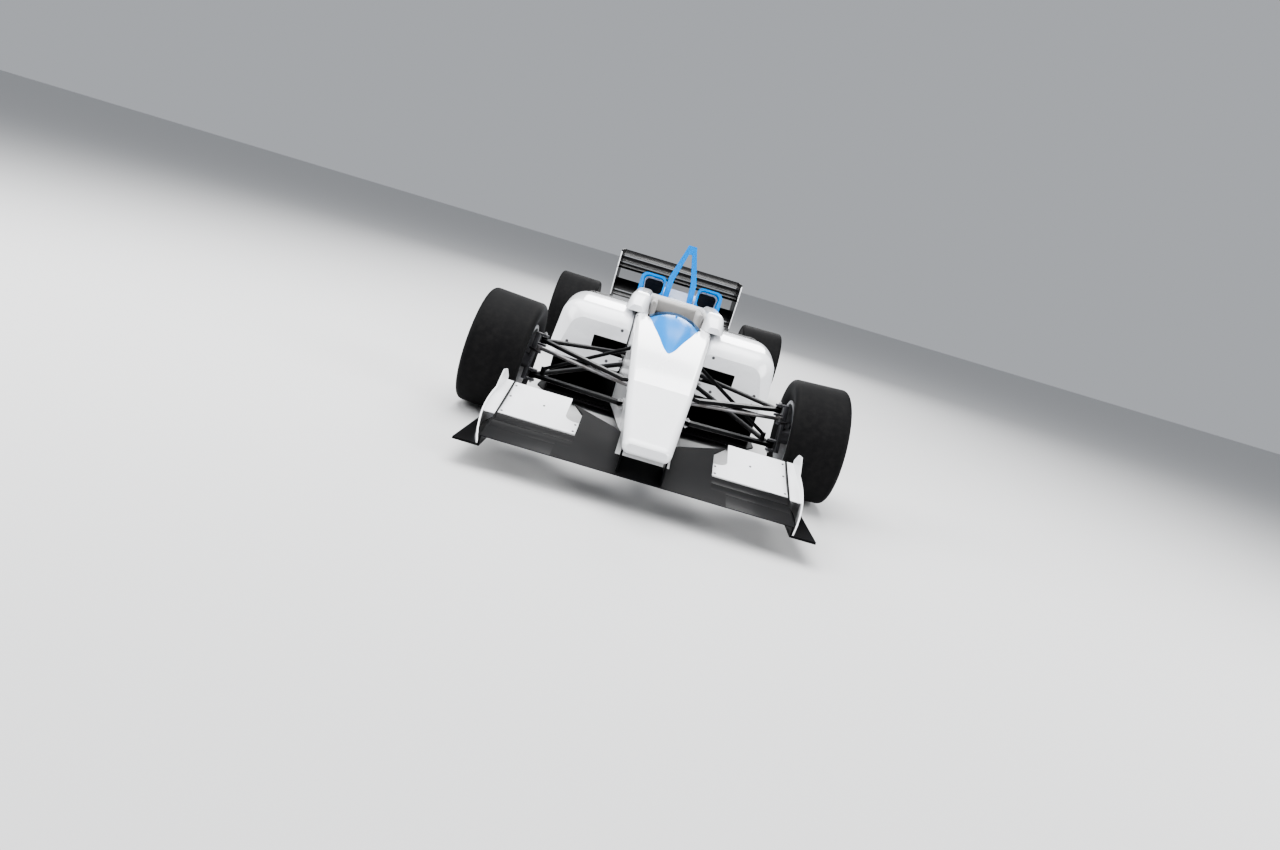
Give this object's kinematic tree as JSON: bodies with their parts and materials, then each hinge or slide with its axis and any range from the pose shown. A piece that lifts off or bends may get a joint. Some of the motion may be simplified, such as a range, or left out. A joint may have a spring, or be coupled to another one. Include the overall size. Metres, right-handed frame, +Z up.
{
  "type": "open wheel racing car",
  "caption": "Single seat open wheel racing car with wings, side pods and roll hoop. Slick wheels roll, and the front pair steers by rack and steering wheel.",
  "frame": {"origin": "on the floor, under the middle of the car's length and width", "axes": "+Y towards the tail, +X to the driver's left, +Z up"},
  "size_m": [1.8792, 4.623, 1.046],
  "materials": {
    "white_paint": "gloss white paint on moulded panels",
    "blue_paint": "gloss sky blue paint",
    "carbon": "lacquered black carbon fibre",
    "glass": "tinted clear screen",
    "pad": "grey padded cover",
    "cooler": "black cooler core",
    "engine_metal": "cast casing, dull",
    "lamp": "red lens",
    "upright_metal": "dark machined alloy",
    "caliper": "dark anodised alloy",
    "steel": "dark steel",
    "tyre": "slick rubber",
    "rim_metal": "satin silver alloy",
    "disc_metal": "machined iron disc"
  },
  "bodies": {
    "root": {"monocoque": "white_paint", "nose_cone": "white_paint", "sidepods": "white_paint", "radiators": "cooler", "tunnels": "carbon", "floor_board": "carbon", "diffuser": "carbon", "cowl": "blue_paint", "windscreen": "glass", "cockpit_surround": "white_paint", "headrest": "pad", "seat": "carbon", "roll_hoop": "blue_paint", "scoop_rims": "blue_paint", "engine_cover": "white_paint", "engine_block": "engine_metal", "gearbox": "engine_metal", "front_wing": "carbon", "front_flaps": "white_paint", "front_endplates": "white_paint", "rear_wing": "carbon", "rear_endplates": "carbon", "rear_light": "lamp", "wishbones": "carbon", "pushrods": "carbon", "rear_uprights": "upright_metal", "rear_calipers": "caliper"},
    "left_knuckle": {"front_left_upright": "upright_metal", "front_left_caliper": "caliper"},
    "right_knuckle": {"front_right_upright": "upright_metal", "front_right_caliper": "caliper"},
    "rack": {"steering_rack": "steel"},
    "helm": {"steering_wheel": "carbon"},
    "front_left_wheel": {"front_left_tyre": "tyre", "front_left_rim": "rim_metal", "front_left_disc": "disc_metal"},
    "front_right_wheel": {"front_right_tyre": "tyre", "front_right_rim": "rim_metal", "front_right_disc": "disc_metal"},
    "rear_left_wheel": {"rear_left_tyre": "tyre", "rear_left_rim": "rim_metal", "rear_left_disc": "disc_metal", "left_driveshaft": "steel"},
    "rear_right_wheel": {"rear_right_tyre": "tyre", "rear_right_rim": "rim_metal", "rear_right_disc": "disc_metal", "right_driveshaft": "steel"}
  },
  "joints": [
    {"name": "left_steer", "type": "hinge", "parent": "root", "child": "left_knuckle", "pos_m": [0.605, -1.3265, 0.222], "axis": [-0.0736, 0.0453, 0.9963], "range_deg": [-16, 16]},
    {"name": "front_left_spin", "type": "hinge", "parent": "left_knuckle", "child": "front_left_wheel", "pos_m": [0.77, -1.3265, 0.28979], "axis": [0.9983, 0, 0.0576], "continuous": true},
    {"name": "rear_left_spin", "type": "hinge", "parent": "root", "child": "rear_left_wheel", "pos_m": [0.772, 1.4675, 0.29535], "axis": [0.9998, 0, 0.0175], "continuous": true},
    {"name": "right_steer", "type": "hinge", "parent": "root", "child": "right_knuckle", "pos_m": [-0.605, -1.3265, 0.222], "axis": [0.0736, 0.0453, 0.9963], "range_deg": [-16, 16]},
    {"name": "front_right_spin", "type": "hinge", "parent": "right_knuckle", "child": "front_right_wheel", "pos_m": [-0.77, -1.3265, 0.28979], "axis": [-0.9983, 0, 0.0576], "continuous": true},
    {"name": "rear_right_spin", "type": "hinge", "parent": "root", "child": "rear_right_wheel", "pos_m": [-0.772, 1.4675, 0.29535], "axis": [-0.9998, 0, 0.0175], "continuous": true},
    {"name": "rack_slide", "type": "slide", "parent": "root", "child": "rack", "axis": [1, 0, 0], "range_m": [-0.0265, 0.0265]},
    {"name": "steering_wheel_turn", "type": "hinge", "parent": "root", "child": "helm", "pos_m": [0, -0.6865, 0.52], "axis": [0, 0.9397, 0.342], "range_deg": [-128.1, 128.1]}
  ],
  "couplings": [
    {"joint": "right_steer", "follows": "left_steer", "ratio": 1},
    {"joint": "rack_slide", "follows": "left_steer", "m_per_rad": 0.0945},
    {"joint": "steering_wheel_turn", "follows": "left_steer", "ratio": 8}
  ]
}
